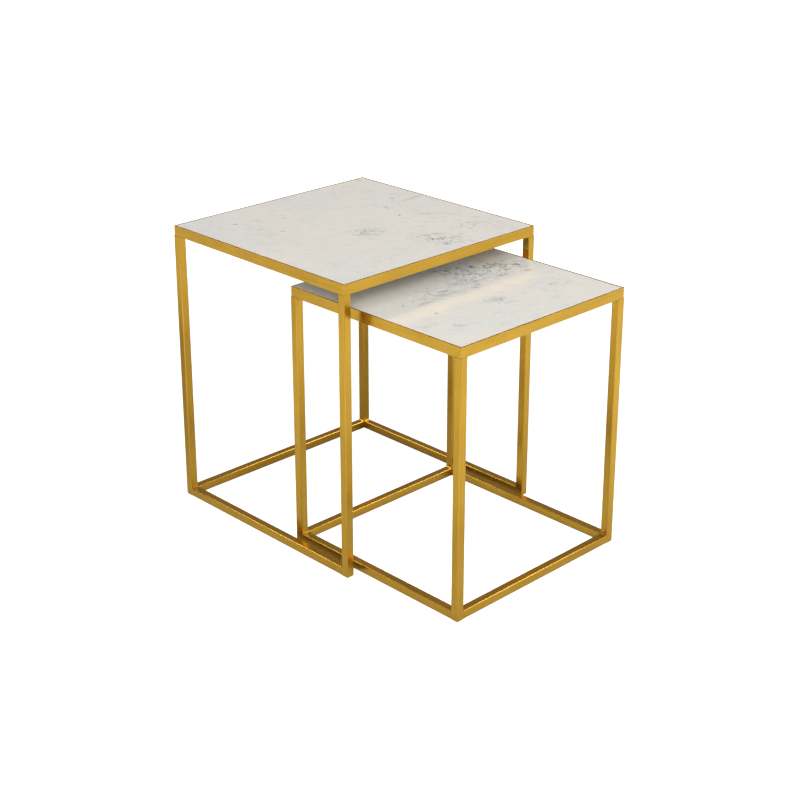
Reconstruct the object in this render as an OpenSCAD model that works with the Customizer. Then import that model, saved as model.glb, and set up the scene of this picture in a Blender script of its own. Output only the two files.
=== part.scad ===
// Pair of nesting side tables: square-tube frames with mitred angle tops and inset marble.
// Frame: +Z up, floor at z = 0, front towards -Y. The origin is on the floor in the middle
// of the pair as it stands with the small table pulled out. Millimetres.

/* [Large table] */
// Width of the large table, side to side
large_w = 450; // [440:1:600]
// Depth of the large table, front to back
large_d = 440; // [425:1:600]
// Height of the large table
large_h = 520; // [500:1:650]

/* [Small table] */
// Width of the small table, side to side
small_w = 390; // [300:1:400]
// Depth of the small table, front to back
small_d = 390; // [300:1:400]
// Height of the small table
small_h = 470; // [380:1:475]
// How far the small table stands out in front of the large one
pull_out = 225; // [60:1:300]

/* [Tube] */
// Outside of the square tube
tube = 15; // [14:0.5:16]
// Wall of the square tube
tube_wall = 1.2; // [1:0.1:2]
// Outside corner radius of the square tube
tube_r = 2; // [1.5:0.1:3]

/* [Top frame] */
// Height and width of the equal angle round the stone
angle = 18; // [17:0.5:22]
// Thickness of the angle, seen as the metal lip round the stone
angle_t = 3; // [2:0.1:4]
// Radius of the weld fillet under each top corner
weld_r = 4; // [3:0.1:6]
// Radius of the weld fillet on the base rails
base_weld_r = 2.5; // [2:0.1:4]

/* [Stone] */
// Joint left open between the stone and the lip
stone_gap = 0.5; // [0.3:0.1:1]
// Diameter of each silicone pad under the stone
pad_d = 8; // [6:0.5:9]
// Thickness of each silicone pad
pad_t = 1; // [0.8:0.1:2]

/* [Feet] */
// Thickness of the plate that closes each leg
cap_t = 2; // [1:0.1:3]
// Diameter of each foot glide
glide_d = 10; // [8:0.5:12]
// Thickness of each foot glide
glide_t = 1; // [0.8:0.1:2]

/* [Hidden] */
$fn = 48;

// Each table is a size, width by depth by height, and a place, the middle of its floor plan.
LARGE = [large_w, large_d, large_h];
SMALL = [small_w, small_d, small_h];
pair_d = large_d + pull_out;
LARGE_AT = [0, (pair_d - large_d) / 2, 0];
SMALL_AT = [0, (small_d - pair_d) / 2, 0];

// Corners and sides, as signs of X and Y. A side's own sign pair points outwards.
FRONT_LEFT = [-1, -1];
FRONT_RIGHT = [1, -1];
BACK_LEFT = [-1, 1];
BACK_RIGHT = [1, 1];
CORNERS = [FRONT_LEFT, FRONT_RIGHT, BACK_LEFT, BACK_RIGHT];
FRONT = [0, -1];
BACK = [0, 1];
LEFT = [-1, 0];
RIGHT = [1, 0];

BRASS = "goldenrod";
MARBLE = "whitesmoke";
SILICONE = "gainsboro";
STEEL = "darkgoldenrod";

weld_lip = 0.3;      // blunt edge left on each weld fillet
stone_r = 1;         // corner radius of the stone
pad_at = 0.28;       // pads stand this share of the side either way from its middle

// ---- flat outlines ----

// Square or rectangle with round corners, centred
module round_rect(w, d, r) {
    square([w - 2 * r, d], center = true);
    square([w, d - 2 * r], center = true);
    for (c = CORNERS) translate([c[0] * (w / 2 - r), c[1] * (d / 2 - r)]) circle(r);
}

// Section of the square tube, centred
module tube_section() {
    inner = tube - 2 * tube_wall;
    difference() {
        round_rect(tube, tube, tube_r);
        round_rect(inner, inner, tube_r - tube_wall);
    }
}

// Concave weld fillet between two faces that meet at the origin, with blunt edges
module weld_section(r) {
    difference() {
        square(r);
        translate([r, r]) circle(r - weld_lip);
    }
}

// Plan of one mitred side of a frame, run along X with its outer edge at y = 0
module mitred_plan(run, width) {
    polygon([[-run / 2, 0], [run / 2, 0], [run / 2 - width, -width], [-run / 2 + width, -width]]);
}

// ---- placing ----

// Turns a piece drawn for the back side, running along X, to another side
function side_turn(side) = side == BACK ? 0 : side == LEFT ? 90 : side == FRONT ? 180 : 270;

// How far a side's outer face is from the middle, and how long that side is
function side_reach(size, side) = (side[0] == 0 ? size[1] : size[0]) / 2;
function side_run(size, side) = side[0] == 0 ? size[0] : size[1];

// Middle of a leg in plan
function leg_at(size, corner) = [
    corner[0] * (size[0] - tube) / 2,
    corner[1] * (size[1] - tube) / 2,
    0
];

// ---- pieces of either table, drawn about the middle of its floor plan ----

// Upright tube from its foot cap to the underside of the top frame
module leg(size, corner) {
    foot = glide_t + cap_t;
    color(BRASS)
        translate(leg_at(size, corner) + [0, 0, foot])
            linear_extrude(size[2] - angle - foot) tube_section();
}

// Mitred angle: an upright flange round the stone and a ledge under it
module top_rail(size, side) {
    run = side_run(size, side);
    color(BRASS)
        translate([0, 0, size[2] - angle])
            intersection() {
                rotate(side_turn(side))
                    translate([0, side_reach(size, side), 0]) {
                        linear_extrude(angle) mitred_plan(run, angle_t);
                        linear_extrude(angle_t) mitred_plan(run, angle);
                    }
                linear_extrude(angle) round_rect(size[0], size[1], tube_r);
            }
}

// Tube on the floor between two legs
module base_rail(size, side) {
    run = side_run(size, side) - 2 * tube;
    color(BRASS)
        rotate(side_turn(side))
            translate([-run / 2, side_reach(size, side) - tube / 2, glide_t + tube / 2])
                rotate([90, 0, 90]) linear_extrude(run) tube_section();
}

// Weld fillet drawn along X on one face of a leg, for the leg at the origin
module weld(r, width) {
    translate([-width / 2, 0, 0])
        rotate([90, 0, 90]) linear_extrude(width) weld_section(r);
}

// Fillets where the legs meet the top frame, and where the base rails meet the legs
module frame_welds(size, base_sides) {
    flat = tube - 2 * tube_r;
    color(STEEL) {
        for (c = CORNERS)
            translate(leg_at(size, c) + [0, 0, size[2] - angle])
                for (turn = [c[0] > 0 ? 90 : 270, c[1] > 0 ? 180 : 0])
                    rotate(turn) translate([0, tube / 2, 0]) mirror([0, 0, 1]) weld(weld_r, flat);
        for (side = base_sides)
            rotate(side_turn(side))
                for (end = [-1, 1])
                    translate([
                        end * (side_run(size, side) / 2 - tube),
                        side_reach(size, side) - tube / 2,
                        glide_t + tube
                    ])
                        rotate(end * 90) weld(base_weld_r, flat);
    }
}

// Plates that close the foot of every leg
module foot_caps(size) {
    color(STEEL)
        for (c = CORNERS)
            translate(leg_at(size, c) + [0, 0, glide_t])
                linear_extrude(cap_t) round_rect(tube, tube, tube_r);
}

// Round glides stuck under the foot caps
module foot_glides(size) {
    color(SILICONE)
        for (c = CORNERS)
            translate(leg_at(size, c)) cylinder(h = glide_t, d = glide_d);
}

// Silicone pads on the ledge, two a side
module stone_pads(size) {
    color(SILICONE)
        for (side = [FRONT, BACK, LEFT, RIGHT])
            rotate(side_turn(side))
                for (end = [-1, 1])
                    translate([
                        end * pad_at * side_run(size, side),
                        side_reach(size, side) - (angle + angle_t) / 2,
                        size[2] - angle + angle_t
                    ])
                        cylinder(h = pad_t, d = pad_d);
}

// Stone slab, its top flush with the lip
module marble_top(size) {
    inset = 2 * (angle_t + stone_gap);
    thick = angle - angle_t - pad_t;
    color(MARBLE)
        translate([0, 0, size[2] - thick])
            linear_extrude(thick) round_rect(size[0] - inset, size[1] - inset, stone_r);
}

// ---- large table, open at the front so that the small one slides in ----

module large_leg(corner) { translate(LARGE_AT) leg(LARGE, corner); }
module large_top_rail(side) { translate(LARGE_AT) top_rail(LARGE, side); }
module large_base_rail(side) { translate(LARGE_AT) base_rail(LARGE, side); }
module large_frame_welds() { translate(LARGE_AT) frame_welds(LARGE, [LEFT, RIGHT, BACK]); }
module large_foot_caps() { translate(LARGE_AT) foot_caps(LARGE); }
module large_foot_glides() { translate(LARGE_AT) foot_glides(LARGE); }
module large_stone_pads() { translate(LARGE_AT) stone_pads(LARGE); }
module large_marble_top() { translate(LARGE_AT) marble_top(LARGE); }

// ---- small table, with a base rail on every side ----

module small_leg(corner) { translate(SMALL_AT) leg(SMALL, corner); }
module small_top_rail(side) { translate(SMALL_AT) top_rail(SMALL, side); }
module small_base_rail(side) { translate(SMALL_AT) base_rail(SMALL, side); }
module small_frame_welds() { translate(SMALL_AT) frame_welds(SMALL, [LEFT, RIGHT, FRONT, BACK]); }
module small_foot_caps() { translate(SMALL_AT) foot_caps(SMALL); }
module small_foot_glides() { translate(SMALL_AT) foot_glides(SMALL); }
module small_stone_pads() { translate(SMALL_AT) stone_pads(SMALL); }
module small_marble_top() { translate(SMALL_AT) marble_top(SMALL); }

large_leg(FRONT_LEFT);  // large_front_left_leg
large_leg(FRONT_RIGHT);  // large_front_right_leg
large_leg(BACK_LEFT);  // large_back_left_leg
large_leg(BACK_RIGHT);  // large_back_right_leg
large_top_rail(FRONT);  // large_front_top_rail
large_top_rail(BACK);  // large_back_top_rail
large_top_rail(LEFT);  // large_left_top_rail
large_top_rail(RIGHT);  // large_right_top_rail
large_base_rail(LEFT);  // large_left_base_rail
large_base_rail(RIGHT);  // large_right_base_rail
large_base_rail(BACK);  // large_back_base_rail
large_frame_welds();
large_foot_caps();
large_foot_glides();
large_stone_pads();
large_marble_top();
small_leg(FRONT_LEFT);  // small_front_left_leg
small_leg(FRONT_RIGHT);  // small_front_right_leg
small_leg(BACK_LEFT);  // small_back_left_leg
small_leg(BACK_RIGHT);  // small_back_right_leg
small_top_rail(FRONT);  // small_front_top_rail
small_top_rail(BACK);  // small_back_top_rail
small_top_rail(LEFT);  // small_left_top_rail
small_top_rail(RIGHT);  // small_right_top_rail
small_base_rail(LEFT);  // small_left_base_rail
small_base_rail(RIGHT);  // small_right_base_rail
small_base_rail(FRONT);  // small_front_base_rail
small_base_rail(BACK);  // small_back_base_rail
small_frame_welds();
small_foot_caps();
small_foot_glides();
small_stone_pads();
small_marble_top();
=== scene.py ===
"""Looks of a pair of nesting side tables.

Each table is a welded cube of slim square tube, with a mitred angle frame on top and a slab of
polished marble dropped into it. The small table stands on the middle line of the large one, pulled
out to the front. Lengths are metres, +Z is up, the front faces -Y and the left side faces -X.
"""

import logging
import math
from collections.abc import Callable, Mapping, Sequence
from dataclasses import dataclass
from enum import Enum

import bmesh
import bpy
from mathutils import Matrix, Vector


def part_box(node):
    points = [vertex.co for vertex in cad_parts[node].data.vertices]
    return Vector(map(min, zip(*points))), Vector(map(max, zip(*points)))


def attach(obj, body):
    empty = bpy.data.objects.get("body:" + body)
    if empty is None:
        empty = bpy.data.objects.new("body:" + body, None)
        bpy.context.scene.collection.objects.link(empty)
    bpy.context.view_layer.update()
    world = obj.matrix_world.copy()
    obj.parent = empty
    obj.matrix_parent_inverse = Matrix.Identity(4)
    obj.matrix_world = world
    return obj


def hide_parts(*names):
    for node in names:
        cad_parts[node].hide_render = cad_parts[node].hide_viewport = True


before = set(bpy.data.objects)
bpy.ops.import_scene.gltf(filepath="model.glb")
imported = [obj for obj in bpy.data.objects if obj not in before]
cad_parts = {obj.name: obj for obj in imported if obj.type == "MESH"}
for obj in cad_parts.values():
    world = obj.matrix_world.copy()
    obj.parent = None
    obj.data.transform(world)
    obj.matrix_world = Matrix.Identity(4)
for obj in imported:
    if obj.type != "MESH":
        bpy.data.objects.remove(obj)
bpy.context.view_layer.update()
MM = 0.001
log = logging.getLogger("nesting_tables")

Colour = tuple[float, float, float]
Span = tuple[float, float]


# ---- directions and slots ----


class Side(Enum):
    """A side of a table, by the quarter turns that bring a front piece to it."""

    FRONT = 0
    RIGHT = 1
    BACK = 2
    LEFT = 3

    @property
    def turn(self) -> Matrix:
        """Rotation about the upright axis that brings a front piece to this side."""
        return Matrix.Rotation(self.value * math.pi / 2, 4, "Z")

    @property
    def lies_along_x(self) -> bool:
        """Whether a rail on this side runs from left to right."""
        return self in (Side.FRONT, Side.BACK)


class Corner(Enum):
    """A corner of a table."""

    FRONT_LEFT = "front_left"
    FRONT_RIGHT = "front_right"
    BACK_LEFT = "back_left"
    BACK_RIGHT = "back_right"


class Grain(Enum):
    """Which way the brush lines of a bar run, by the number of its axis."""

    ALONG_X = 0
    ALONG_Y = 1
    ALONG_Z = 2


class Slot(Enum):
    """The material slots of the pieces, which are handed to settle but not used there."""

    GOLD = "gold_steel"
    MARBLE = "marble"
    PAD = "silicone_pad"
    GLIDE = "foot_glide"


# ---- the modelling bench ----


def select_only(chosen: bpy.types.Object) -> None:
    """Selects one object and no others, and makes it active.

    Args:
        chosen: The object to select.
    """
    bpy.ops.object.select_all(action="DESELECT")
    chosen.select_set(True)
    bpy.context.view_layer.objects.active = chosen


class Workpiece:
    """One mesh that is being shaped in edit mode."""

    SMOOTH_BELOW = math.radians(35)
    NEAR = 0.01 * MM
    DISC_SIDES = 40

    def __init__(self) -> None:
        """Takes the primitive that was just added, and opens it for editing."""
        self.object = bpy.context.object
        bpy.ops.object.transform_apply(location=True, rotation=True, scale=True)
        bpy.ops.object.mode_set(mode="EDIT")
        bpy.ops.mesh.select_all(action="DESELECT")

    @classmethod
    def block(cls, lo: Vector, hi: Vector) -> "Workpiece":
        """Starts from a rectangular block.

        Args:
            lo: Its lowest corner.
            hi: Its highest corner.

        Returns:
            The block, open for editing.
        """
        bpy.ops.object.select_all(action="DESELECT")
        bpy.ops.mesh.primitive_cube_add(size=1, location=(lo + hi) / 2, scale=hi - lo)
        return cls()

    @classmethod
    def disc(cls, diameter: float, height: float) -> "Workpiece":
        """Starts from an upright round disc that stands on the origin.

        Args:
            diameter: Its diameter.
            height: Its height.

        Returns:
            The disc, open for editing.
        """
        bpy.ops.object.select_all(action="DESELECT")
        bpy.ops.mesh.primitive_cylinder_add(
            vertices=cls.DISC_SIDES, radius=diameter / 2, depth=height, location=(0, 0, height / 2)
        )
        return cls()

    def add_block(self, lo: Vector, hi: Vector) -> "Workpiece":
        """Adds another block to the workpiece.

        Args:
            lo: Its lowest corner.
            hi: Its highest corner.

        Returns:
            This workpiece, with the new block selected.
        """
        bpy.ops.mesh.select_all(action="DESELECT")
        bpy.ops.mesh.primitive_cube_add(size=1, location=(lo + hi) / 2, scale=hi - lo)
        return self

    def near(self, a: float, b: float) -> bool:
        """Whether two measures are the same, to a hundredth of a millimetre."""
        return abs(a - b) < self.NEAR

    def faces(self, test: Callable[[Vector, Vector], bool]) -> "Workpiece":
        """Selects the faces that pass a test, and nothing else.

        Args:
            test: Takes a face's middle and its normal.

        Returns:
            This workpiece.
        """
        bpy.ops.mesh.select_mode(type="FACE")
        bpy.ops.mesh.select_all(action="DESELECT")
        mesh = bmesh.from_edit_mesh(self.object.data)
        for face in mesh.faces:
            if test(face.calc_center_median(), face.normal):
                face.select_set(True)
        bmesh.update_edit_mesh(self.object.data)
        return self

    def edges(self, test: Callable[[Vector, Vector], bool]) -> "Workpiece":
        """Selects the edges that pass a test, and nothing else.

        Args:
            test: Takes an edge's middle and its direction, of length 1.

        Returns:
            This workpiece.
        """
        bpy.ops.mesh.select_mode(type="EDGE")
        bpy.ops.mesh.select_all(action="DESELECT")
        mesh = bmesh.from_edit_mesh(self.object.data)
        for edge in mesh.edges:
            a, b = (v.co for v in edge.verts)
            if test((a + b) / 2, (b - a).normalized()):
                edge.select_set(True)
        bmesh.update_edit_mesh(self.object.data)
        return self

    def everything(self) -> None:
        """Selects the whole workpiece."""
        bpy.ops.mesh.select_all(action="SELECT")

    def bevel(self, width: float, segments: int, profile: float = 0.5) -> "Workpiece":
        """Rounds the selected edges.

        Args:
            width: How far the rounding reaches from the edge.
            segments: How many faces it has across.
            profile: 0.5 for a round edge, and under 0.25 for a hollow one.

        Returns:
            This workpiece.
        """
        bpy.ops.mesh.bevel(offset=width, segments=segments, profile=profile, affect="EDGES")
        return self

    def bore(self, wall: float) -> "Workpiece":
        """Hollows the workpiece from one selected end face through to the other.

        Args:
            wall: Thickness of the wall that is left.

        Returns:
            This workpiece.
        """
        bpy.ops.mesh.inset(thickness=wall, use_even_offset=True)
        bpy.ops.mesh.bridge_edge_loops()
        return self

    def extrude(self, step: Vector) -> "Workpiece":
        """Pulls the selected faces out.

        Args:
            step: How far, and which way.

        Returns:
            This workpiece.
        """
        bpy.ops.mesh.extrude_region_move(TRANSFORM_OT_translate={"value": step})
        return self

    def shrink(self, factors: Vector) -> "Workpiece":
        """Scales what is selected, about the origin.

        Args:
            factors: The scale along each axis.

        Returns:
            This workpiece.
        """
        bpy.ops.transform.resize(value=factors, center_override=(0.0, 0.0, 0.0))
        return self

    def score(self, point: Vector, normal: Vector) -> "Workpiece":
        """Adds edges where a plane crosses what is selected.

        Args:
            point: A point on the plane.
            normal: The plane's normal.

        Returns:
            This workpiece.
        """
        bpy.ops.mesh.bisect(plane_co=point, plane_no=normal)
        return self

    def saw(self, point: Vector, normal: Vector) -> "Workpiece":
        """Cuts away the whole of one side of a plane, and closes the cut.

        Args:
            point: A point on the plane.
            normal: The plane's normal, which points to what is cut away.

        Returns:
            This workpiece.
        """
        self.everything()
        bpy.ops.mesh.bisect(plane_co=point, plane_no=normal, use_fill=True, clear_outer=True)
        return self

    def done(self, name: str) -> bpy.types.Object:
        """Closes the workpiece and shades it: round edges smooth and flat faces flat.

        Args:
            name: The finished object's name.

        Returns:
            The finished object, untransformed, with its place in its mesh.
        """
        self.everything()
        bpy.ops.mesh.normals_make_consistent(inside=False)
        bpy.ops.object.mode_set(mode="OBJECT")
        select_only(self.object)
        bpy.ops.object.shade_smooth_by_angle(angle=self.SMOOTH_BELOW)
        weighted = self.object.modifiers.new("flat_faces_stay_flat", "WEIGHTED_NORMAL")
        weighted.keep_sharp = True
        bpy.ops.object.modifier_apply(modifier=weighted.name)
        self.object.name = self.object.data.name = name
        return self.object


class Pattern:
    """A finished piece near the origin, of which each copy is set in its place."""

    def __init__(self, model: bpy.types.Object) -> None:
        """Keeps the finished piece."""
        self.model = model

    def copy(self, name: str, place: Matrix) -> bpy.types.Object:
        """Copies the pattern, with a mesh of its own.

        Args:
            name: The copy's name.
            place: Where it goes.

        Returns:
            The copy, untransformed, with its place in its mesh.
        """
        select_only(self.model)
        bpy.ops.object.duplicate(linked=False)
        made = bpy.context.object
        made.matrix_world = place
        bpy.ops.object.transform_apply(location=True, rotation=True, scale=True)
        made.name = made.data.name = name
        return made

    def discard(self) -> None:
        """Takes the pattern off the bench once its copies are made."""
        mesh = self.model.data
        bpy.data.objects.remove(self.model)
        bpy.data.meshes.remove(mesh)


# ---- shader maths ----


class Value:
    """A socket that Python's arithmetic operators work on."""

    def __init__(self, nodes: "Nodes", socket: bpy.types.NodeSocket) -> None:
        """Wraps a socket."""
        self.nodes = nodes
        self.socket = socket

    def __add__(self, other: "Value | float") -> "Value":
        """Adds."""
        return self.nodes.math("ADD", self, other)

    def __sub__(self, other: "Value | float") -> "Value":
        """Subtracts."""
        return self.nodes.math("SUBTRACT", self, other)

    def __mul__(self, other: "Value | float") -> "Value":
        """Multiplies."""
        return self.nodes.math("MULTIPLY", self, other)

    __radd__ = __add__

    def __abs__(self) -> "Value":
        """Drops the sign."""
        return self.nodes.math("ABSOLUTE", self)

    def capped(self) -> "Value":
        """The value, but at most 1."""
        return self.nodes.math("MINIMUM", self, 1.0)


Input = Value | float | Sequence[float]


class Nodes:
    """The nodes of a material or of the surroundings."""

    def __init__(self, tree: bpy.types.NodeTree) -> None:
        """Starts with an empty tree."""
        self.tree = tree
        self.tree.nodes.clear()

    @staticmethod
    def socket(sockets: Sequence[bpy.types.NodeSocket], key: str) -> bpy.types.NodeSocket:
        """Finds a socket by its identifier or its name."""
        return next(s for s in sockets if key in (s.identifier, s.name))

    def node(
        self, kind: str, settings: Mapping[str, str], inputs: Mapping[str, Input]
    ) -> bpy.types.Node:
        """Adds a node.

        Args:
            kind: The node's type, without the leading ShaderNode.
            settings: Its settings, which are made first.
            inputs: The values or links of its sockets, by identifier or name.

        Returns:
            The node.
        """
        made = self.tree.nodes.new("ShaderNode" + kind)
        for key, setting in settings.items():
            setattr(made, key, setting)
        for key, given in inputs.items():
            socket = self.socket(made.inputs, key)
            if isinstance(given, Value):
                self.tree.links.new(given.socket, socket)
            elif socket.type == "RGBA":
                socket.default_value = (*given, 1.0)
            else:
                socket.default_value = given
        return made

    def read(self, node: bpy.types.Node, output: str) -> Value:
        """Takes one of a node's outputs, by its identifier or its name."""
        return Value(self, self.socket(node.outputs, output))

    def math(self, operation: str, first: "Value | float", second: "Value | float" = 0.0) -> Value:
        """Adds a Math node.

        Args:
            operation: What it does.
            first: Its first value.
            second: Its second value, where it has one.

        Returns:
            Its result.
        """
        inputs = {"Value": first, "Value_001": second}
        return self.read(self.node("Math", {"operation": operation}, inputs), "Value")

    def vector(self, operation: str, first: Input, second: Input) -> Value:
        """Adds a Vector Math node that makes a vector.

        Args:
            operation: What it does.
            first: Its first vector.
            second: Its second vector.

        Returns:
            The vector that comes of it.
        """
        inputs = {"Vector": first, "Vector_001": second}
        return self.read(self.node("VectorMath", {"operation": operation}, inputs), "Vector")

    def length(self, vector: Value) -> Value:
        """How long a vector is."""
        length = self.node("VectorMath", {"operation": "LENGTH"}, {"Vector": vector})
        return self.read(length, "Value")

    def dot(self, first: Input, second: Input) -> Value:
        """How far the first vector reaches along the second, which is of length 1."""
        inputs = {"Vector": first, "Vector_001": second}
        return self.read(self.node("VectorMath", {"operation": "DOT_PRODUCT"}, inputs), "Value")

    def place(self) -> Value:
        """Where a point of the piece is, in metres."""
        return self.read(self.node("TexCoord", {}, {}), "Object")

    def noise(self, place: Value, scale: float, detail: float, stir: float = 0.0) -> Value:
        """Cloudy noise about a middle of one half.

        Args:
            place: Where it is read.
            scale: How many clouds there are to a metre.
            detail: How many finer layers it has.
            stir: How much it is stirred.

        Returns:
            The noise, from 0 to 1.
        """
        inputs = {"Vector": place, "Scale": scale, "Detail": detail, "Distortion": stir}
        return self.read(self.node("TexNoise", {"noise_dimensions": "3D"}, inputs), "Fac")

    def rise(self, value: Value, start: float, end: float) -> Value:
        """A smooth step, which falls where end is below start.

        Args:
            value: What is stepped.
            start: Where the step leaves 0.
            end: Where it reaches 1.

        Returns:
            The step, from 0 to 1.
        """
        inputs = {"Value": value, "From Min": start, "From Max": end}
        step = self.node("MapRange", {"interpolation_type": "SMOOTHSTEP"}, inputs)
        return self.read(step, "Result")

    def mix(self, share: "Value | float", first: Input, second: Input) -> Value:
        """Mixes two colours.

        Args:
            share: How much of the second colour there is.
            first: The first colour.
            second: The second colour.

        Returns:
            The mixed colour.
        """
        inputs = {"Factor_Float": share, "A_Color": first, "B_Color": second}
        return self.read(self.node("Mix", {"data_type": "RGBA"}, inputs), "Result_Color")

    def bump(self, height: Value, depth: float) -> Value:
        """Turns a height into a normal.

        Args:
            height: The height, from 0 to 1.
            depth: How high 1 is, in metres.

        Returns:
            The normal.
        """
        return self.read(self.node("Bump", {}, {"Height": height, "Distance": depth}), "Normal")


class Shader(Nodes):
    """A material that ends in one Principled surface."""

    def __init__(self, name: str) -> None:
        """Starts an empty material.

        Args:
            name: The material's name.
        """
        self.material = bpy.data.materials.new(name)
        self.material.use_nodes = True
        super().__init__(self.material.node_tree)

    def surface(self, **inputs: Input) -> bpy.types.Material:
        """Ends the material in a Principled surface.

        Args:
            inputs: Its sockets, with underscores for the spaces in their names.

        Returns:
            The finished material.
        """
        named = {key.replace("_", " "): given for key, given in inputs.items()}
        surface = self.read(self.node("BsdfPrincipled", {}, named), "BSDF")
        self.node("OutputMaterial", {}, {"Surface": surface})
        return self.material


# ---- finishes ----

MIDDLE = 0.5
"""The middle of every noise."""


@dataclass(frozen=True)
class BrushedGold:
    """Satin gold lacquer over steel that was ground along each bar."""

    light: Colour = (0.72, 0.44, 0.062)
    deep: Colour = (0.62, 0.365, 0.044)
    roughness: float = 0.25
    line_pitch: float = 0.5 * MM
    line_length: float = 60 * MM
    line_depth: float = 0.003 * MM
    band_pitch: float = 3 * MM
    band_length: float = 160 * MM
    patch_size: float = 60 * MM
    line_share: float = 0.5
    band_share: float = 0.45
    patch_share: float = 0.55
    deep_span: Span = (0.3, 0.75)
    line_sheen: float = 0.12
    band_sheen: float = 0.1

    @staticmethod
    def stretch(grain: Grain, pitch: float, length: float) -> Vector:
        """How many lines there are to a metre along each axis.

        Args:
            grain: Which way the lines run.
            pitch: How far apart they are.
            length: How long they are.

        Returns:
            The three numbers.
        """
        return Vector(1 / length if axis == grain.value else 1 / pitch for axis in range(3))

    def material(self, grain: Grain) -> bpy.types.Material:
        """Makes the finish for the bars that run one way.

        Args:
            grain: Which way their brush lines run.

        Returns:
            The material.
        """
        shader = Shader(f"brushed_gold_{grain.name.lower()}")
        place = shader.place()
        line_scale = self.stretch(grain, self.line_pitch, self.line_length)
        band_scale = self.stretch(grain, self.band_pitch, self.band_length)
        lines = shader.noise(shader.vector("MULTIPLY", place, line_scale), 1.0, 3.0)
        bands = shader.noise(shader.vector("MULTIPLY", place, band_scale), 1.0, 2.0)
        patches = shader.noise(place, 1 / self.patch_size, 3.0)
        line, band = lines - MIDDLE, bands - MIDDLE
        depth = bands * self.band_share + patches * self.patch_share + line * self.line_share
        return shader.surface(
            Base_Color=shader.mix(shader.rise(depth, *self.deep_span), self.light, self.deep),
            Metallic=1.0,
            Roughness=self.roughness + line * self.line_sheen + band * self.band_sheen,
            Normal=shader.bump(lines, self.line_depth),
        )


@dataclass(frozen=True)
class Mark:
    """An oval place on a slab, measured from the slab's middle."""

    x: float
    y: float
    length: float
    width: float
    angle: float = 0.0
    strength: float = 1.0


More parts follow.
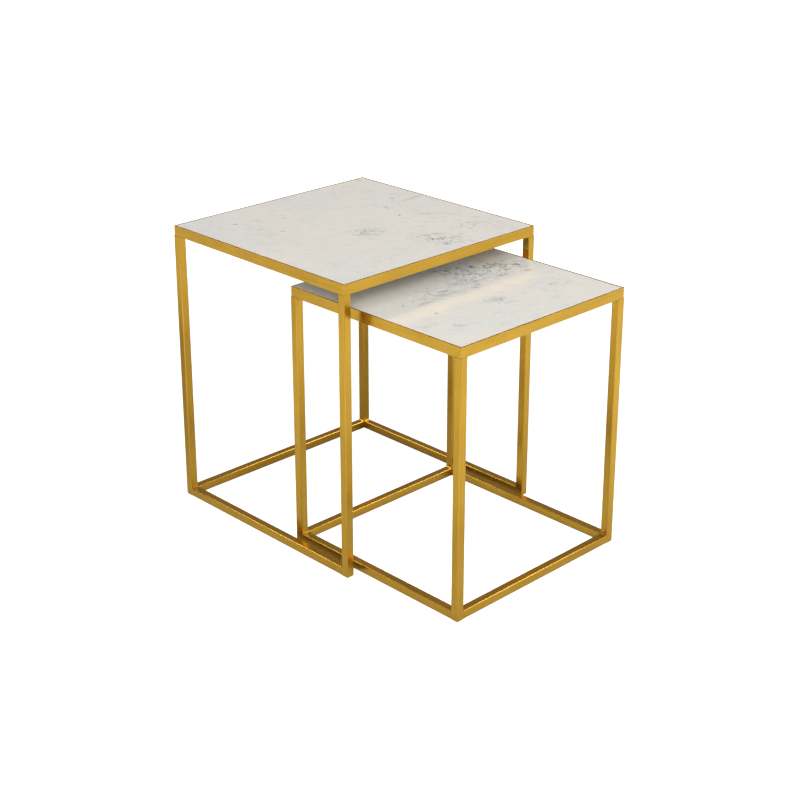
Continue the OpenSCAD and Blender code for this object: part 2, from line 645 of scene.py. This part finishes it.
@dataclass(frozen=True)
class PolishedMarble:
    """Polished white marble with grey flecks, soft grey hazes and a few beige wisps."""

    grain_angle: float
    flecks: tuple[Mark, ...]
    hazes: tuple[Mark, ...]
    wisps: tuple[Mark, ...]
    warm: Colour = (0.64, 0.628, 0.58)
    cool: Colour = (0.605, 0.612, 0.597)
    grey: Colour = (0.37, 0.39, 0.40)
    dark: Colour = (0.10, 0.11, 0.115)
    beige: Colour = (0.50, 0.37, 0.27)
    roughness: float = 0.12
    sheen: float = 0.05
    relief: float = 0.01 * MM
    stretch: float = 1.5
    stir: float = 12 * MM
    stir_scale: float = 40.0
    soft_edge: Span = (1.0, 0.2)
    cloud_scale: float = 8.0
    mottle_scale: float = 95.0
    speck_scale: float = 210.0
    speck_shift: Vector = Vector((0.31, 0.17, 0.0))
    thread_scale: float = 34.0
    grey_span: Span = (0.48, 0.78)
    grey_share: float = 0.26
    haze_span: Span = (0.42, 0.64)
    haze_share: float = 0.55
    thread_span: Span = (0.02, 0.0)
    thread_clouds: Span = (0.42, 0.62)
    thread_share: float = 0.2
    fleck_span: Span = (0.69, 0.77)
    fleck_lift: float = 0.26
    haze_lift: float = 0.04
    fleck_share: float = 0.7
    cool_span: Span = (0.3, 0.7)
    wisp_span: Span = (0.2, 0.5)
    wisp_share: float = 0.75

    def mask(self, nodes: Nodes, place: Value, marks: Sequence[Mark]) -> Value:
        """Soft ovals, one for each mark.

        Args:
            nodes: The nodes to add to.
            place: Where a point is, from the middle of the slab.
            marks: The ovals.

        Returns:
            How much of a mark there is, from 0 to 1.
        """
        total: Value | float = 0.0
        for mark in marks:
            inputs = {
                "Vector": place,
                "Location": (mark.x, mark.y, 0.0),
                "Rotation": (0.0, 0.0, math.radians(mark.angle)),
                "Scale": (mark.length / 2, mark.width / 2, 1.0),
            }
            oval = nodes.read(nodes.node("Mapping", {"vector_type": "TEXTURE"}, inputs), "Vector")
            total = nodes.rise(nodes.length(oval), *self.soft_edge) * mark.strength + total
        return total.capped()

    def material(self, plan: "Plan") -> bpy.types.Material:
        """Makes the stone.

        Args:
            plan: The plan of the table that it is for.

        Returns:
            The material.
        """
        shader = Shader(f"{plan.key}_table_marble")
        place = shader.vector("SUBTRACT", shader.place(), plan.middle)
        turned = {
            "Vector": place,
            "Rotation": (0.0, 0.0, math.radians(self.grain_angle)),
            "Scale": (self.stretch, 1.0, 1.0),
        }
        grain = shader.read(shader.node("Mapping", {"vector_type": "TEXTURE"}, turned), "Vector")
        stirred = {"Vector": place, "Scale": self.stir_scale, "Detail": 4.0}
        swirl = shader.read(shader.node("TexNoise", {}, stirred), "Color")
        swirl = shader.vector("SUBTRACT", swirl, (MIDDLE,) * 3)
        swirl = shader.vector("MULTIPLY", swirl, (self.stir,) * 3)
        spot = shader.vector("MULTIPLY", shader.vector("ADD", place, swirl), (1.0, 1.0, 0.0))

        flecked = self.mask(shader, spot, self.flecks)
        hazed = self.mask(shader, spot, self.hazes)
        wisped = self.mask(shader, spot, self.wisps)
        cloud = shader.noise(grain, self.cloud_scale, 3.0, 0.5)
        mottle = shader.noise(grain, self.mottle_scale, 6.0, 0.7)
        shifted = shader.vector("ADD", grain, self.speck_shift)
        speck = shader.noise(shifted, self.speck_scale, 4.0, 0.9)
        thread = abs(shader.noise(grain, self.thread_scale, 5.0, 1.2) - MIDDLE)

        threaded = shader.rise(thread, *self.thread_span)
        threaded = threaded * shader.rise(cloud, *self.thread_clouds)
        grey = shader.rise(mottle, *self.grey_span) * self.grey_share
        grey = grey + hazed * shader.rise(mottle, *self.haze_span) * self.haze_share
        grey = grey + threaded * self.thread_share
        fleck = speck + flecked * self.fleck_lift + hazed * self.haze_lift
        fleck = shader.rise(fleck, *self.fleck_span) * self.fleck_share
        wisp = wisped * shader.rise(mottle, *self.wisp_span) * self.wisp_share

        stone = shader.mix(shader.rise(cloud, *self.cool_span), self.warm, self.cool)
        stone = shader.mix(grey.capped(), stone, self.grey)
        stone = shader.mix(wisp, stone, self.beige)
        stone = shader.mix(fleck, stone, self.dark)
        return shader.surface(
            Base_Color=stone,
            Roughness=self.roughness + (mottle - MIDDLE) * self.sheen,
            Normal=shader.bump(mottle, self.relief),
        )


@dataclass(frozen=True)
class ClearSilicone:
    """Clear silicone, slightly clouded."""

    colour: Colour = (0.78, 0.78, 0.76)
    clouded: Colour = (0.60, 0.60, 0.58)
    cloud_scale: float = 400.0
    cloud_share: float = 0.4
    roughness: float = 0.35
    sheen: float = 0.1
    clearness: float = 0.6
    refraction: float = 1.41

    def material(self) -> bpy.types.Material:
        """Makes the silicone.

        Returns:
            The material.
        """
        shader = Shader("clear_silicone")
        cloud = shader.noise(shader.place(), self.cloud_scale, 3.0)
        return shader.surface(
            Base_Color=shader.mix(cloud * self.cloud_share, self.colour, self.clouded),
            Roughness=self.roughness + cloud * self.sheen,
            Transmission_Weight=self.clearness,
            IOR=self.refraction,
        )


@dataclass(frozen=True)
class MouldedNylon:
    """Off-white nylon with a fine moulded texture."""

    colour: Colour = (0.62, 0.61, 0.58)
    scuffed: Colour = (0.50, 0.49, 0.46)
    texture_scale: float = 1500.0
    scuff_share: float = 0.4
    roughness: float = 0.55
    sheen: float = 0.2
    relief: float = 0.05 * MM

    def material(self) -> bpy.types.Material:
        """Makes the nylon.

        Returns:
            The material.
        """
        shader = Shader("moulded_nylon")
        texture = shader.noise(shader.place(), self.texture_scale, 4.0)
        return shader.surface(
            Base_Color=shader.mix(texture * self.scuff_share, self.colour, self.scuffed),
            Roughness=self.roughness + (texture - MIDDLE) * self.sheen,
            Normal=shader.bump(texture, self.relief),
        )


# ---- the tables ----


@dataclass(frozen=True)
class Plan:
    """Where a table stands and how large it is."""

    key: str
    middle: Vector
    width: float
    depth: float
    tube: float
    angle: float
    rail_z: float
    base_z: float

    @classmethod
    def of(cls, key: str) -> "Plan":
        """Reads a table's plan from its nodes.

        Args:
            key: What its nodes' names begin with.

        Returns:
            Its plan.
        """
        leg_lo, leg_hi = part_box(f"{key}_front_left_leg")
        front_lo, front_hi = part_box(f"{key}_front_top_rail")
        left_lo, left_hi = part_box(f"{key}_left_top_rail")
        middle = Vector((front_lo.x + front_hi.x, left_lo.y + left_hi.y, 0.0)) / 2
        return cls(
            key=key,
            middle=middle,
            width=front_hi.x - front_lo.x,
            depth=left_hi.y - left_lo.y,
            tube=leg_hi.x - leg_lo.x,
            angle=front_hi.z - front_lo.z,
            rail_z=front_lo.z,
            base_z=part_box(f"{key}_left_base_rail")[0].z,
        )

    @property
    def body(self) -> str:
        """The body that the whole table moves as."""
        return f"{self.key}_table"

    def node(self, part: str) -> str:
        """The full name of one of the table's nodes."""
        return f"{self.key}_{part}"

    def run(self, side: Side) -> float:
        """How long a side is, corner to corner."""
        return self.width if side.lies_along_x else self.depth

    def on_side(self, side: Side, height: float) -> Matrix:
        """Places what is drawn at the front, run along X with its outer face at y = 0.

        Args:
            side: The side that it goes to.
            height: The height that its z = 0 goes to.

        Returns:
            Its place.
        """
        reach = self.depth if side.lies_along_x else self.width
        lift = Matrix.Translation(self.middle + Vector((0.0, 0.0, height)))
        return lift @ side.turn @ Matrix.Translation((0.0, -reach / 2, 0.0))

    def at_leg(self, corner: Corner, height: float) -> Matrix:
        """Places what is drawn about the middle of a leg.

        Args:
            corner: The corner that it goes to.
            height: The height that its z = 0 goes to.

        Returns:
            Its place.
        """
        lo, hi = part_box(self.node(f"{corner.value}_leg"))
        return Matrix.Translation(((lo.x + hi.x) / 2, (lo.y + hi.y) / 2, height))

    def settle(
        self, piece: bpy.types.Object, part: str, slot: Slot, material: bpy.types.Material
    ) -> None:
        """Dresses a finished piece, and puts it on the table in its node's stead.

        Args:
            piece: The finished piece.
            part: The node that it stands for.
            slot: Not used.
            material: Its material.
        """
        piece.data.materials.clear()
        piece.data.materials.append(material)
        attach(piece, self.body)
        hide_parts(self.node(part))
        log.info("%s: %d faces, %s", piece.name, len(piece.data.polygons), material.name)


@dataclass
class SteelFrame:
    """A table's welded frame: legs, mitred angle on top, base rails and their welds."""

    plan: Plan
    base_sides: tuple[Side, ...]
    gold: Mapping[Grain, bpy.types.Material]
    wall: float = 1.2 * MM
    corner_round: float = 2 * MM
    lip: float = 3 * MM
    arris: float = 0.15 * MM
    top_weld: float = 4 * MM
    base_weld: float = 2.5 * MM
    weld_edge: float = 0.3 * MM
    weld_tail: float = 1.2 * MM
    weld_taper: float = 0.4
    weld_steps: int = 8
    foot_round: float = 1.8 * MM
    round_steps: int = 6
    arris_steps: int = 3

    HOLLOW = 0.086
    """Profile of a bevel that is hollow like a quarter of a circle."""

    def square_tube(self, length: float) -> Pattern:
        """Models a square tube with round edges, along Z from the origin.

        Args:
            length: How long it is.

        Returns:
            The tube.
        """
        half = self.plan.tube / 2
        work = Workpiece.block(Vector((-half, -half, 0.0)), Vector((half, half, length)))
        work.edges(lambda middle, way: abs(way.z) > 0.5).bevel(self.corner_round, self.round_steps)
        work.faces(lambda middle, normal: abs(normal.z) > 0.5).bore(self.wall)
        return Pattern(work.done("square_tube"))

    def top_rail(self, run: float) -> Pattern:
        """Models a mitred angle along X: a flange outside, and a ledge for the stone inside.

        Args:
            run: Its length at the outer face, which is at y = 0.

        Returns:
            The rail.
        """
        angle, lip, end = self.plan.angle, self.lip, run / 2
        work = Workpiece.block(Vector((-end, 0.0, 0.0)), Vector((end, lip, angle)))
        work.faces(lambda middle, normal: normal.y > 0.5)
        work.score(Vector((0.0, 0.0, lip)), Vector((0.0, 0.0, 1.0)))
        work.faces(lambda middle, normal: normal.y > 0.5 and middle.z < lip)
        work.extrude(Vector((0.0, angle - lip, 0.0)))
        work.edges(lambda middle, way: abs(way.z) > 0.5 and work.near(middle.y, 0.0))
        work.bevel(self.corner_round, self.round_steps)

        leg = end - self.plan.tube
        for way in (-1.0, 1.0):
            work.faces(lambda middle, normal: normal.y < -0.5 or normal.z < -0.5)
            work.score(Vector((way * leg, 0.0, 0.0)), Vector((1.0, 0.0, 0.0)))

        def is_rim(middle: Vector, way: Vector) -> bool:
            """Whether an edge is on the outer rim: all along the top, between the legs below."""
            bend = middle.y < self.corner_round and abs(middle.x) > end - self.corner_round
            outer = bend or work.near(middle.y, 0.0)
            top = work.near(middle.z, angle) and outer and abs(middle.x) < end
            bottom = work.near(middle.z, 0.0) and work.near(middle.y, 0.0) and abs(middle.x) < leg
            return abs(way.z) < 0.5 and (top or bottom)

        work.edges(is_rim).bevel(self.arris, self.arris_steps)
        work.saw(Vector((end, 0.0, 0.0)), Vector((1.0, 1.0, 0.0)))
        work.saw(Vector((-end, 0.0, 0.0)), Vector((-1.0, 1.0, 0.0)))
        return Pattern(work.done("top_rail"))

    def fillet(self, radius: float) -> Workpiece:
        """Starts a dressed weld bead along Y, in the corner between x = 0 and z = 0.

        Args:
            radius: How far it reaches up and along.

        Returns:
            The bead, with tails that die away at its ends.
        """
        half = self.plan.tube / 2 - self.corner_round
        sunk = -2 * self.weld_edge
        work = Workpiece.block(Vector((sunk, -half, sunk)), Vector((radius, half, radius)))
        crown = (radius, radius)
        work.edges(lambda middle, way: all(map(work.near, (middle.x, middle.z), crown)))
        work.bevel(radius - self.weld_edge, self.weld_steps, self.HOLLOW)
        for way in (-1.0, 1.0):
            work.faces(lambda middle, normal, way=way: normal.y * way > 0.9)
            work.extrude(Vector((0.0, way * self.weld_tail, 0.0)))
            work.shrink(Vector((self.weld_taper, 1.0, self.weld_taper)))
        return work

    def base_joint(self) -> Pattern:
        """Models the welds of one base rail end, with the rail's top at z = 0 and the leg at x < 0.

        Returns:
            The bead on top, and the seams beside it that fill the leg's round edges.
        """
        work = self.fillet(self.base_weld)
        half, seam = self.plan.tube / 2, self.corner_round
        for way in (-1.0, 1.0):
            inner, outer = sorted((way * (half - seam - self.arris), way * half))
            work.add_block(Vector((-seam, inner, -self.plan.tube)), Vector((0.0, outer, 0.0)))
        work.edges(lambda middle, way: abs(way.x) > 0.5 and work.near(abs(middle.y), half))
        work.bevel(seam, self.round_steps)
        return Pattern(work.done("base_joint"))

    def foot_cap(self) -> Pattern:
        """Models the plate that closes a leg, with a round lower edge and its top at z = 0.

        Returns:
            The plate.
        """
        lo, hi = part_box(self.plan.node("foot_caps"))
        half, thick = self.plan.tube / 2, hi.z - lo.z
        work = Workpiece.block(Vector((-half, -half, -thick)), Vector((half, half, 0.0)))
        work.edges(lambda middle, way: abs(way.z) > 0.5).bevel(self.corner_round, self.round_steps)
        work.edges(lambda middle, way: work.near(middle.z, -thick))
        work.bevel(self.foot_round, self.round_steps)
        return Pattern(work.done("foot_cap"))

    def grain(self, side: Side) -> bpy.types.Material:
        """The gold whose brush lines run along a side."""
        return self.gold[Grain.ALONG_X if side.lies_along_x else Grain.ALONG_Y]

    def build_legs(self) -> None:
        """Builds the legs and the plates under them."""
        lo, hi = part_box(self.plan.node("front_left_leg"))
        tube, cap = self.square_tube(hi.z - lo.z), self.foot_cap()
        for corner in Corner:
            part = f"{corner.value}_leg"
            place = self.plan.at_leg(corner, lo.z)
            leg = tube.copy(self.plan.node(part), place)
            self.plan.settle(leg, part, Slot.GOLD, self.gold[Grain.ALONG_Z])
            plate = cap.copy(self.plan.node(f"{corner.value}_foot_cap"), place)
            self.plan.settle(plate, "foot_caps", Slot.GOLD, self.gold[Grain.ALONG_X])
        tube.discard()
        cap.discard()

    def build_top(self) -> None:
        """Builds the mitred angle frame and the beads under its corners."""
        bead = Pattern(self.fillet(self.top_weld).done("top_weld"))
        upside_down = Matrix.Rotation(math.pi, 4, "X")
        for side in Side:
            part = f"{side.name.lower()}_top_rail"
            pattern = self.top_rail(self.plan.run(side))
            rail = pattern.copy(self.plan.node(part), self.plan.on_side(side, self.plan.rail_z))
            self.plan.settle(rail, part, Slot.GOLD, self.grain(side))
            pattern.discard()
            for end, place in self.rail_ends(side, self.plan.rail_z):
                name = self.plan.node(f"{side.name.lower()}_top_weld_{end}")
                weld = bead.copy(name, place @ upside_down)
                self.plan.settle(weld, "frame_welds", Slot.GOLD, self.grain(side))
        bead.discard()

    def rail_ends(self, side: Side, height: float) -> list[tuple[str, Matrix]]:
        """Places for what is drawn at the left end of a front rail, with the leg at x < 0.

        Args:
            side: The rail's side.
            height: The height that its z = 0 goes to.

        Returns:
            Each end's name and place.
        """
        inward = Matrix.Translation((0.0, self.plan.tube / 2, 0.0))
        middle = self.plan.on_side(side, height) @ inward
        reach = Matrix.Translation((self.plan.tube - self.plan.run(side) / 2, 0.0, 0.0))
        turned = Matrix.Rotation(math.pi, 4, "Z") @ reach
        return [("left", middle @ reach), ("right", middle @ turned)]

    def build_base(self) -> None:
        """Builds the base rails and the welds at their ends."""
        joint = self.base_joint()
        lie_down = Matrix.Rotation(math.pi / 2, 4, "Y")
        tube = self.plan.tube
        for side in self.base_sides:
            part = f"{side.name.lower()}_base_rail"
            length = self.plan.run(side) - 2 * tube
            pattern = self.square_tube(length)
            shift = Matrix.Translation((-length / 2, tube / 2, tube / 2))
            place = self.plan.on_side(side, self.plan.base_z) @ shift @ lie_down
            rail = pattern.copy(self.plan.node(part), place)
            self.plan.settle(rail, part, Slot.GOLD, self.grain(side))
            pattern.discard()
            for end, place in self.rail_ends(side, self.plan.base_z + tube):
                weld = joint.copy(self.plan.node(f"{side.name.lower()}_base_weld_{end}"), place)
                self.plan.settle(weld, "frame_welds", Slot.GOLD, self.grain(side))
        joint.discard()

    def build(self) -> None:
        """Builds the whole frame."""
        self.build_legs()
        self.build_top()
        self.build_base()


@dataclass
class Glides:
    """The round glides under a table's feet."""

    plan: Plan
    nylon: bpy.types.Material
    diameter: float = 10 * MM
    rim_round: float = 0.4 * MM
    rim_steps: int = 3

    def build(self) -> None:
        """Builds a glide under each leg."""
        lo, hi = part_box(self.plan.node("foot_glides"))
        work = Workpiece.disc(self.diameter, hi.z - lo.z)
        work.edges(lambda middle, way: work.near(middle.z, 0.0))
        work.bevel(self.rim_round, self.rim_steps)
        pattern = Pattern(work.done("glide"))
        for corner in Corner:
            name = self.plan.node(f"{corner.value}_foot_glide")
            glide = pattern.copy(name, self.plan.at_leg(corner, lo.z))
            self.plan.settle(glide, "foot_glides", Slot.GLIDE, self.nylon)
        pattern.discard()


@dataclass
class StoneTop:
    """A table's marble slab and the silicone pads that it lies on."""

    plan: Plan
    marble: bpy.types.Material
    silicone: bpy.types.Material
    slab_arris: float = 0.6 * MM
    slab_corner: float = 1 * MM
    arris_steps: int = 3
    corner_steps: int = 4
    pad_diameter: float = 8 * MM
    pad_round: float = 0.25 * MM
    pad_steps: int = 2
    pad_share: float = 0.28
    """How far each pad is from the middle of its side, as a share of the side."""

    def build_slab(self) -> None:
        """Builds the slab."""
        lo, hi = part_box(self.plan.node("marble_top"))
        work = Workpiece.block(lo, hi)
        work.edges(lambda middle, way: abs(way.z) > 0.5).bevel(self.slab_corner, self.corner_steps)
        work.edges(lambda middle, way: abs(way.z) < 0.5).bevel(self.slab_arris, self.arris_steps)
        slab = work.done(self.plan.node("marble_top"))
        self.plan.settle(slab, "marble_top", Slot.MARBLE, self.marble)

    def build_pads(self) -> None:
        """Builds the pads, two on each side's ledge."""
        lo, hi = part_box(self.plan.node("stone_pads"))
        work = Workpiece.disc(self.pad_diameter, hi.z - lo.z)
        work.edges(lambda middle, way: abs(way.z) < 0.5).bevel(self.pad_round, self.pad_steps)
        pattern = Pattern(work.done("pad"))
        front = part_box(self.plan.node("front_top_rail"))[0].y
        inset = lo.y - front + self.pad_diameter / 2
        for side in Side:
            for end, way in (("left", -1), ("right", 1)):
                along = way * self.pad_share * self.plan.run(side)
                place = self.plan.on_side(side, lo.z) @ Matrix.Translation((along, inset, 0.0))
                pad = pattern.copy(self.plan.node(f"{side.name.lower()}_stone_pad_{end}"), place)
                self.plan.settle(pad, "stone_pads", Slot.PAD, self.silicone)
        pattern.discard()

    def build(self) -> None:
        """Builds the pads and the slab."""
        self.build_pads()
        self.build_slab()


# ---- the studio ----


@dataclass(frozen=True)
class Softbox:
    """A rectangular studio light, which may be left out of reflections."""

    name: str
    place: Vector
    width: float
    height: float
    power: float
    mirrored: bool = True
    aim: Vector = Vector((0.0, 0.0, 0.2))

    def build(self) -> None:
        """Hangs the light."""
        data = bpy.data.lights.new(self.name, "AREA")
        data.shape = "RECTANGLE"
        data.size = self.width
        data.size_y = self.height
        data.energy = self.power
        light = bpy.data.objects.new(self.name, data)
        light.location = self.place
        light.rotation_euler = (self.aim - self.place).to_track_quat("-Z", "Y").to_euler()
        light.visible_camera = False
        light.visible_glossy = self.mirrored
        bpy.context.scene.collection.objects.link(light)


LIGHTS = (
    Softbox("key", Vector((-2.5, -2.7, 2.6)), width=2.8, height=2.0, power=182.0, mirrored=False),
    Softbox("fill", Vector((2.1, -2.2, 1.6)), width=2.2, height=1.4, power=8.5),
    Softbox("back", Vector((-0.1, 2.0, 2.35)), width=1.2, height=1.0, power=18.0),
    Softbox("right", Vector((2.0, -0.1, 2.35)), width=1.0, height=1.2, power=25.0),
)


@dataclass(frozen=True)
class Camera:
    """The camera, by what it looks at and from where."""

    target: Vector = Vector((0.0, -0.002, 0.375))
    azimuth: float = -44.25
    elevation: float = 20.6
    distance: float = 2.769
    lens: float = 72.3
    shift_y: float = -0.1

    def build(self) -> None:
        """Sets the camera up and makes it the scene's."""
        around, up = math.radians(self.azimuth), math.radians(self.elevation)
        level = Vector((math.sin(around), -math.cos(around), 0.0))
        back = level * math.cos(up) + Vector((0.0, 0.0, math.sin(up)))
        data = bpy.data.cameras.new("camera")
        data.lens = self.lens
        data.shift_y = self.shift_y
        camera = bpy.data.objects.new("camera", data)
        camera.location = self.target + back * self.distance
        camera.rotation_euler = (-back).to_track_quat("-Z", "Y").to_euler()
        bpy.context.scene.collection.objects.link(camera)
        bpy.context.scene.camera = camera


@dataclass(frozen=True)
class Studio:
    """A pale floor with painted shade near the tables and a painted shadow behind them, in a room
    that is bright before them.
    """

    floor_size: float = 60.0
    # painted shade near the tables and a painted shadow behind them, in the floor's paint, for the
    # gold to reflect
    floor_near_painted_shade: Colour = (0.50, 0.50, 0.49)
    floor_far: Colour = (0.76, 0.76, 0.74)
    painted_shade_to_far: Span = (0.25, 1.1)
    floor_painted_shadow_behind: Colour = (0.31, 0.29, 0.27)
    painted_shadow_to_near: Span = (-0.21, -0.06)
    painted_shadow_to_far: Span = (1.3, 1.6)
    floor_front: Vector = Vector((-0.62, -0.785, 0.0))
    floor_lift: float = 0.95
    card_roughness: float = 0.9
    front: Vector = Vector((-0.7, -0.714, 0.0))
    white: Colour = (0.88, 0.86, 0.82)
    dusk: Colour = (0.26, 0.20, 0.165)
    ceiling: Colour = (0.26, 0.23, 0.21)
    dusk_to_ceiling: Span = (0.2, 0.7)
    dusk_to_white: Span = (-0.3, 0.5)
    white_to_flag: Span = (0.72, 0.92)
    flag_span: Span = (0.55, 3.0)
    flag_width: float = 5.0
    flag_colour: Colour = (0.06, 0.055, 0.05)

    def build_floor(self) -> None:
        """Lays the floor, which is lifted to white where it is looked at; its paint holds painted
        shade near the tables and a painted shadow behind them, which the gold reflects.
        """
        bpy.ops.object.select_all(action="DESELECT")
        bpy.ops.mesh.primitive_plane_add(size=self.floor_size)
        floor = bpy.context.object
        floor.name = "studio_floor"
        shader = Shader("studio_floor")
        seen = shader.read(shader.node("LightPath", {}, {}), "Is Camera Ray")
        lift = shader.mix(seen, (0.0, 0.0, 0.0), (self.floor_lift,) * 3)
        place = shader.place()
        ahead, away = shader.dot(place, self.floor_front), shader.length(place)
        # painted shade: the floor is painted darker near the tables and lighter further out
        far = shader.rise(away, *self.painted_shade_to_far)
        paint = shader.mix(far, self.floor_near_painted_shade, self.floor_far)
        # painted shadow of the tables on the floor behind them, which the next mix ends further out
        paint = shader.mix(shader.rise(ahead, *self.painted_shadow_to_near), self.floor_painted_shadow_behind, paint)
        paint = shader.mix(shader.rise(away, *self.painted_shadow_to_far), paint, self.floor_far)
        lifted = {"Emission_Color": lift, "Emission_Strength": 1.0}
        card = shader.surface(Base_Color=paint, Roughness=self.card_roughness, **lifted)
        floor.data.materials.append(card)

    def build_flag(self) -> None:
        """Lays a dark card on the floor, before the tables, which only reflections show."""
        near, far = self.flag_span
        bpy.ops.object.select_all(action="DESELECT")
        bpy.ops.mesh.primitive_plane_add(
            size=1,
            location=self.front * (near + far) / 2 + Vector((0.0, 0.0, MM)),
            rotation=(0.0, 0.0, math.atan2(self.front.y, self.front.x)),
            scale=(far - near, self.flag_width, 1.0),
        )
        flag = bpy.context.object
        flag.name = "studio_flag"
        flag.visible_camera = flag.visible_diffuse = flag.visible_shadow = False
        colours = {"Base_Color": self.flag_colour, "Roughness": self.card_roughness}
        flag.data.materials.append(Shader("studio_flag").surface(**colours))

    def build_surroundings(self) -> None:
        """Makes the room, which is white where it is looked at."""
        world = bpy.data.worlds.new("studio")
        world.use_nodes = True
        nodes = Nodes(world.node_tree)
        way = nodes.read(nodes.node("TexCoord", {}, {}), "Generated")
        facing = nodes.dot(way, self.front)
        height = nodes.read(nodes.node("SeparateXYZ", {}, {"Vector": way}), "Z")
        behind = nodes.mix(nodes.rise(height, *self.dusk_to_ceiling), self.dusk, self.ceiling)
        light = nodes.mix(nodes.rise(facing, *self.dusk_to_white), behind, self.white)
        light = nodes.mix(nodes.rise(facing, *self.white_to_flag), light, self.flag_colour)
        seen = nodes.read(nodes.node("LightPath", {}, {}), "Is Camera Ray")
        shown = nodes.mix(seen, light, (1.0, 1.0, 1.0))
        background = nodes.read(nodes.node("Background", {}, {"Color": shown}), "Background")
        nodes.node("OutputWorld", {}, {"Surface": background})
        bpy.context.scene.world = world

    def build(self) -> None:
        """Sets up the floor, the surroundings, the lights and the camera."""
        self.build_floor()
        self.build_flag()
        self.build_surroundings()
        for light in LIGHTS:
            light.build()
        Camera().build()
        bpy.context.scene.view_settings.view_transform = "Standard"


# ---- the pair ----

LARGE_STONE = PolishedMarble(
    grain_angle=-42.0,
    flecks=(
        Mark(0.165, 0.075, 0.018, 0.01, -40),
        Mark(0.10, -0.01, 0.016, 0.012, -40),
        Mark(0.095, -0.035, 0.04, 0.01, -75, 0.7),
        Mark(0.04, -0.185, 0.022, 0.014, -40, 0.6),
        Mark(0.05, -0.155, 0.05, 0.022, -60, 0.3),
        Mark(0.055, -0.16, 0.14, 0.10, -50, 0.35),
        Mark(0.14, -0.155, 0.14, 0.08, -70, 0.35),
        Mark(-0.145, 0.15, 0.03, 0.01, -45, 0.9),
        Mark(-0.06, 0.12, 0.016, 0.01, -40, 0.9),
        Mark(-0.11, 0.06, 0.014, 0.01, -40),
        Mark(-0.03, -0.075, 0.018, 0.01, -40, 0.9),
        Mark(0.0, -0.04, 0.10, 0.06, -30, 0.4),
        Mark(0.125, 0.20, 0.016, 0.01, -40, 0.8),
    ),
    hazes=(
        Mark(0.06, -0.155, 0.16, 0.10, -55),
        Mark(0.175, -0.15, 0.16, 0.08, -80, 0.7),
        Mark(-0.01, -0.05, 0.12, 0.07, -30, 0.7),
        Mark(-0.13, 0.10, 0.12, 0.04, -45, 0.6),
        Mark(0.15, -0.05, 0.12, 0.07, -45, 0.4),
    ),
    wisps=(
        Mark(0.195, 0.05, 0.09, 0.009, 3),
        Mark(0.115, 0.04, 0.035, 0.009, 72, 0.9),
        Mark(-0.105, 0.14, 0.04, 0.02, -55, 0.4),
        Mark(0.205, 0.21, 0.045, 0.014, 70, 0.7),
    ),
)
SMALL_STONE = PolishedMarble(
    grain_angle=-25.0,
    flecks=(
        Mark(0.09, 0.055, 0.02, 0.016, -40, 0.5),
        Mark(0.095, 0.03, 0.24, 0.15, -10, 0.5),
        Mark(0.155, 0.005, 0.035, 0.03, 0, 0.5),
        Mark(0.10, -0.01, 0.07, 0.03, 30, 0.2),
        Mark(0.03, 0.07, 0.16, 0.05, 0, 0.4),
        Mark(0.025, -0.02, 0.07, 0.03, 40, 0.4),
        Mark(-0.035, 0.0, 0.035, 0.02, 0, 0.7),
        Mark(-0.10, 0.0, 0.02, 0.012, 30, 0.9),
        Mark(-0.13, -0.005, 0.02, 0.014, 30, 0.9),
        Mark(-0.06, 0.03, 0.16, 0.08, 0, 0.3),
        Mark(-0.115, -0.065, 0.016, 0.012, 0, 0.9),
        Mark(0.005, -0.09, 0.08, 0.035, -35, 0.45),
        Mark(0.13, -0.095, 0.07, 0.05, -40, 0.3),
    ),
    hazes=(
        Mark(0.09, 0.03, 0.22, 0.13, -10),
        Mark(-0.02, 0.0, 0.20, 0.08, 0, 0.8),
        Mark(-0.125, -0.125, 0.05, 0.025, 60),
        Mark(0.005, -0.09, 0.09, 0.05, -35, 0.9),
        Mark(-0.16, -0.09, 0.05, 0.03, 0, 0.5),
        Mark(0.13, -0.095, 0.10, 0.06, -40, 0.5),
    ),
    wisps=(
        Mark(-0.095, -0.02, 0.05, 0.014, 0, 0.9),
        Mark(0.15, -0.025, 0.025, 0.016, 0, 0.9),
        Mark(0.135, 0.025, 0.03, 0.014, 0, 0.6),
    ),
)


def main() -> None:
    """Builds both tables and the studio round them."""
    logging.basicConfig(level=logging.INFO, format="%(name)s: %(message)s")
    finish = BrushedGold()
    gold = {grain: finish.material(grain) for grain in Grain}
    silicone = ClearSilicone().material()
    nylon = MouldedNylon().material()
    large, small = Plan.of("large"), Plan.of("small")
    open_front = (Side.LEFT, Side.RIGHT, Side.BACK)
    for plan, base_sides, stone in (
        (large, open_front, LARGE_STONE),
        (small, tuple(Side), SMALL_STONE),
    ):
        SteelFrame(plan, base_sides, gold).build()
        Glides(plan, nylon).build()
        StoneTop(plan, stone.material(plan), silicone).build()
    Studio().build()


if __name__ == "__main__":
    main()
